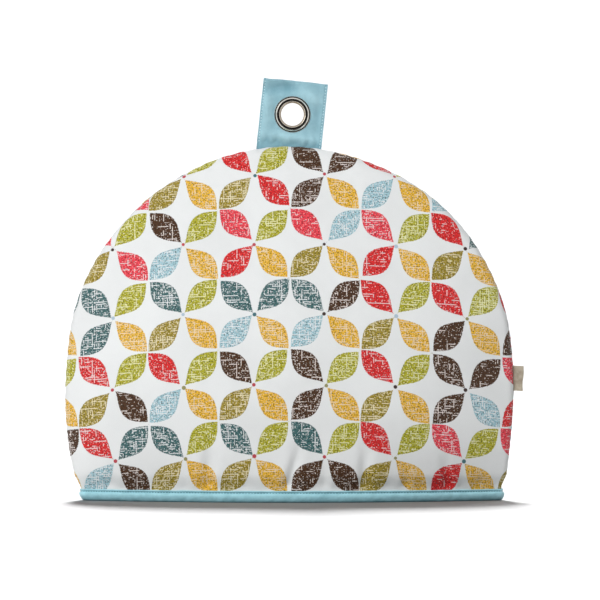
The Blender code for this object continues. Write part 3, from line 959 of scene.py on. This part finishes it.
def makeTab():
    half, top, run = foldSizes(tab, tab["length"])
    left, wide, deep = tab["foldDip"]
    along = 2 * tab["rows"] + tab["foldRows"]
    bm, (flatU, flatV, paintedShadeAndTone) = newGrid(tab["columns"], along, "flatU", "flatV", "paintedShadeAndTone")
    for vert in bm.verts:
        t = (vert.co.y + 1.0) * 0.5
        x = 0.5 * tab["width"] * vert.co.x
        y, z = foldPath(tab, t, top, half)
        vert[flatU], vert[flatV] = x, t * run
        edge = tab["unevenFold"] * ripple(x * 70.0, 4.0, 0.0) - deep * math.exp(-((x + left) / wide) ** 2)
        z += edge * smooth(z, 0.5 * top, top)
        wave = tabWave(x, z)
        # painted shade: darker in the folds' hollows, at the foot where the tab enters the seam, and along
        # the stitch lines
        shade = 0.55 - wave * tab["paintedFoldShade"] - 0.6 * (1.0 - smooth(z, 0.0015, 0.0075))
        shade -= 0.6 * math.exp(-(fromStitches(x) / 0.0007) ** 2)
        vert[paintedShadeAndTone] = min(1.0, max(0.0, shade))
        pinch = 1.0 - tab["drawnIn"] * (1.0 - smooth(fromStitches(x), 0.0002, 0.0011))
        vert.co = tabPlace(x, z, y * pinch + wave)
    finishCloth(bm, flatU, flatV)
    obj = pieceFrom(bm, "hangingTab", tabCotton)
    addThickness(obj, "layer", tab["layer"])
    bevel = obj.modifiers.new("softEdges", "BEVEL")
    bevel.width = tab["corner"]
    bevel.segments = 2
    bevel.limit_method = "ANGLE"
    bevel.angle_limit = math.radians(60.0)
    cutter = bmesh.new()
    bmesh.ops.create_cone(cutter, cap_ends=True, segments=96, radius1=tab["hole"], radius2=tab["hole"],
                          depth=0.02, matrix=Matrix.Rotation(0.5 * math.pi, 4, "X"))
    bmesh.ops.translate(cutter, verts=cutter.verts, vec=tabPlace(0.0, tab["eyeletUp"]))
    punch = pieceFrom(cutter, "punch")
    hole = obj.modifiers.new("hole", "BOOLEAN")
    hole.object = punch
    hole.operation = "DIFFERENCE"
    hole.solver = "EXACT"
    bakeModifiers(obj)
    bpy.data.objects.remove(punch)
    return finishPiece(obj, ("hanging_tab",), 45.0), run


def makeTabStitches():
    bm = bmesh.new()
    inner = 0.5 * tab["width"] - tab["stitchInset"]
    face = tab["layer"] + 0.5 * tab["between"] - 0.5 * (tab["layer"] + tab["between"]) * tab["drawnIn"]
    heights = [0.0006 + (tab["length"] - 0.0022) * i / 40 for i in range(41)]
    for side in (-1.0, 1.0):
        for x in (-inner, inner):
            points = [tabPlace(x, z, side * face + tabWave(x, z)) for z in heights]
            sewStitches(bm, points, [Vector((0.0, side, 0.0))] * len(points), tab)
    return finishPiece(pieceFrom(bm, "tabStitches", tabThread), ())


hangingTab, tabRun = makeTab()
tabStitches = makeTabStitches()
print("tab made")


eyelet = {
    "outer": 0.0136,
    "crownOuter": 0.0117,
    "crownInner": 0.0098,
    "bore": 0.0085,
    "face": 0.00135,
    "dome": 0.0012,
    "rimWide": 0.00105,  # flat edge round the dome
    "rimHigh": 0.00035,
    "crownEdge": 0.00012,
    "wall": 0.0005,
    "back": -0.0026,
    "lip": 0.0114,
    "lipDrop": 0.0009,
    "round": 0.0003,
    "steps": 96,
    "washerOuter": 0.013,
    "washerThick": 0.0008,
    "washerFace": -0.0015,
}
eyeletMiddle = tabPlace(0.0, tab["eyeletUp"])
middleInFrame = eyeletMiddle + Vector((cosy["middleX"], 0.0, 0.0))
nickel = makeMetal("polishedNickel", middleInFrame, eyelet["crownInner"])


def spinPiece(name, profile, node):
    # profile is radius and height towards the front, spun about the hole's own axis
    bm = bmesh.new()
    verts = [bm.verts.new((radius, -height, 0.0)) for radius, height in profile]
    edges = [bm.edges.new((vert, verts[(i + 1) % len(verts)])) for i, vert in enumerate(verts)]
    bmesh.ops.spin(bm, geom=verts + edges, axis=(0.0, 1.0, 0.0), cent=(0.0, 0.0, 0.0),
                   angle=2.0 * math.pi, steps=eyelet["steps"], use_merge=True)
    bmesh.ops.remove_doubles(bm, verts=bm.verts, dist=0.000005)
    bmesh.ops.recalc_face_normals(bm, faces=bm.faces)
    bmesh.ops.translate(bm, verts=bm.verts, vec=eyeletMiddle)
    finishPiece(pieceFrom(bm, name, nickel), (node,), 50.0)


def makeEyelet():
    outer, bore, lip, face, back = (eyelet[key] for key in ("outer", "bore", "lip", "face", "back"))
    inner, rounded = bore + eyelet["wall"], eyelet["round"]
    low = face + eyelet["rimHigh"]
    high = face + eyelet["dome"]
    shoulder = high - eyelet["crownEdge"]
    # the outer slope, the rim, and the outside of the barrel down to the lip
    wide = outer - eyelet["rimWide"] - eyelet["crownOuter"]
    steps = [i / 10 for i in range(11)]
    profile = [(eyelet["crownOuter"] + wide * t, low + (shoulder - low) * (1.0 - t**1.35)) for t in steps]
    insets = (eyelet["rimWide"] - 0.00004, eyelet["rimWide"] - 0.0001, 0.0002, 0.00014)
    profile += [(outer - inset, low) for inset in insets]
    profile += [(outer - 0.00005, low - 0.00006), (outer, low - 0.00018), (outer - 0.0001, face + 0.00004),
                (outer - 0.0005, face), (inner + 0.0002, face + 0.0001), (inner, face - rounded),
                (inner, back + 0.0001), (inner + 0.0002, back), (lip - rounded, back),
                (lip, back - rounded)]
    # round the lip, up the bore and over the crown
    middle, reach = 0.5 * (lip + bore), 0.5 * (lip - bore)
    for i in range(1, 12):
        t = math.pi * i / 12
        drop = rounded + (eyelet["lipDrop"] - rounded) * math.sin(t)
        profile.append((middle + reach * math.cos(t), back - drop))
    profile += [(bore, back), (bore, 0.0), (bore, face - 0.0002)]
    throat, fall = eyelet["crownInner"] - bore, eyelet["dome"] + 0.0002
    profile += [(bore + throat * t, shoulder - fall * (1.0 - t) ** 1.6) for t in steps[1:-1]]
    profile += [(eyelet["crownInner"] + inset, high) for inset in (0.00008, 0.0002)]
    profile += [(eyelet["crownOuter"] - inset, high) for inset in (0.0002, 0.00008)]
    spinPiece("eyelet", profile, "eyelet")


def makeWasher():
    face = eyelet["washerFace"]
    inner = eyelet["bore"] + eyelet["wall"] + 0.0003
    outer, thick = eyelet["washerOuter"], eyelet["washerThick"]
    profile = [(inner, face), (outer - 0.0003, face), (outer, face - 0.0003),
               (outer - 0.0001, face - 0.5 * thick), (outer - 0.0005, face - 0.9 * thick),
               (outer - 0.0009, face - thick), (inner, face - thick)]
    spinPiece("eyeletWasher", profile, "eyelet_washer")


makeEyelet()
makeWasher()
print("eyelet made")


def makeLabel():
    rimX = sheetHalfWidth(1.0, label["middle"]) + cosy["liftOut"]
    half, tip, run = foldSizes(label, label["out"])
    along = 2 * label["rows"] + label["foldRows"]
    bm, (flatU, flatV) = newGrid(along, label["columns"], "flatU", "flatV")
    for vert in bm.verts:
        t = (vert.co.x + 1.0) * 0.5
        z = 0.5 * label["height"] * vert.co.y
        y, x = foldPath(label, t, tip, half)
        vert[flatU], vert[flatV] = t * run, z
        curl = label["curl"] * math.sin(z * 160.0 + 0.7) * smooth(x, 0.0, label["out"])
        x += label["unevenFold"] * math.sin(z * 420.0) * smooth(x, 0.5 * tip, tip)
        vert.co = Matrix.Rotation(label["lean"], 3, "Y") @ Vector((x, y + curl, z))
    finishCloth(bm, flatU, flatV)
    bmesh.ops.translate(bm, verts=bm.verts, vec=(rimX, 0.0, label["middle"]))
    obj = pieceFrom(bm, "sideLabel", labelTape)
    addThickness(obj, "layer", label["layer"])
    bakeModifiers(obj)
    finishPiece(obj, ("side_label",), 45.0)


makeLabel()
print("label made")


stage = {
    "cameraX": 0.0041,
    "cameraHeight": 0.1501,
    "cameraDistance": 4.0,
    "frameWidth": 0.45,
    "floorRadius": 9.0,
}

camera = bpy.data.objects.new("camera", bpy.data.cameras.new("camera"))
bpy.context.scene.collection.objects.link(camera)
camera.location = (stage["cameraX"], -stage["cameraDistance"], stage["cameraHeight"])
camera.rotation_euler = (0.5 * math.pi, 0.0, 0.0)
camera.data.lens = camera.data.sensor_width * stage["cameraDistance"] / stage["frameWidth"]
camera.data.clip_end = 100.0
bpy.context.scene.camera = camera


def makeFloor():
    # the floor throws less light back up than the camera sees on it
    material, tree, shader = newMaterial("paleFloor")
    ray = addNode(tree, "ShaderNodeLightPath").outputs
    color = mixColors(ray["Is Camera Ray"], (0.4, 0.4, 0.4, 1.0), (0.62, 0.62, 0.625, 1.0))
    fillIn(shader, {"Base Color": color, "Roughness": 0.9, "Specular IOR Level": 0.1})
    bm = bmesh.new()
    bmesh.ops.create_circle(bm, cap_ends=True, segments=96, radius=stage["floorRadius"])
    floor = pieceFrom(bm, "floor", material)
    return floor


def makeCard(name, size, place, turn, color, glow):
    # only reflections see it
    material, _, shader = newMaterial(name)
    fillIn(shader, {"Base Color": (color, color, color, 1.0), "Roughness": 0.9,
                    "Emission Color": (1.0, 1.0, 1.0, 1.0), "Emission Strength": glow})
    bm = bmesh.new()
    bmesh.ops.create_grid(bm, x_segments=1, y_segments=1, size=0.5 * size)
    card = pieceFrom(bm, name, material)
    card.location = place
    card.rotation_euler = turn
    card.visible_camera = False
    card.visible_diffuse = False
    card.visible_shadow = False


def addLamp(name, kind, strength, turn, pieces=()):
    # a light for these pieces only, or for all
    light = bpy.data.lights.new(name, kind)
    light.energy = strength
    obj = bpy.data.objects.new(name, light)
    obj.rotation_euler = turn
    obj.visible_glossy = False
    bpy.context.scene.collection.objects.link(obj)
    if pieces:
        reached = bpy.data.collections.new(name + "Reach")
        for piece in pieces:
            reached.objects.link(piece)
        obj.light_linking.receiver_collection = reached
    return obj


def addSun(name, towards, strength, softness, pieces=()):
    turn = Vector(towards).to_track_quat("Z", "Y").to_euler()
    addLamp(name, "SUN", strength, turn, pieces).data.angle = math.radians(softness)


def addStrip(name, place, size, strength, pieces):
    # a low strip light that shines towards the back
    lamp = addLamp(name, "AREA", strength, (0.5 * math.pi, 0.0, 0.0), pieces)
    lamp.location = place
    lamp.visible_camera = False
    lamp.data.shape = "RECTANGLE"
    lamp.data.size, lamp.data.size_y = size


def makeWorld():
    # the camera sees plain white, and the cloth a softer white
    world = bpy.data.worlds.new("studio")
    bpy.context.scene.world = world
    world.use_nodes = True
    tree = world.node_tree
    ray = addNode(tree, "ShaderNodeLightPath").outputs
    seen = timesPlus(ray["Is Camera Ray"], 0.9, 0.22)
    seen = timesPlus(ray["Is Glossy Ray"], 0.6, seen)
    fillIn(tree.nodes["Background"], {"Color": (0.985, 0.99, 1.0, 1.0), "Strength": seen})


cosyPieces = [obj for obj in bpy.context.scene.objects if obj.type == "MESH" and not obj.hide_render]
floor = makeFloor()
makeWorld()
makeCard("cameraCard", 4.8, (0.05, -4.4, 0.3), (0.5 * math.pi, 0.0, 0.0), 0.01, 0.0)
makeCard("softBox", 3.0, (-3.4, -2.6, 2.2), (math.radians(60.0), 0.0, math.radians(-52.0)), 0.8, 1.5)
addSun("keyLight", (-0.42, -0.74, 0.6), 2.61, 26.0, cosyPieces)
# three at different heights make the shadow soft in depth and crisper sideways
for i, (rise, strength) in enumerate(((0.75, 2.0), (1.0, 2.0), (1.35, 2.2))):
    addSun("floorLight" + str(i + 1), (-0.055, 0.85, rise), strength, 9.0, [floor])
addSun("backLight", (0.2, 0.85, 1.0), 1.2, 26.0)
addStrip("lowLight", (-0.06, -0.36, 0.03), (0.42, 0.05), 0.078, [frontPanel])
bpy.context.scene.view_settings.view_transform = "Standard"
print("stage made")
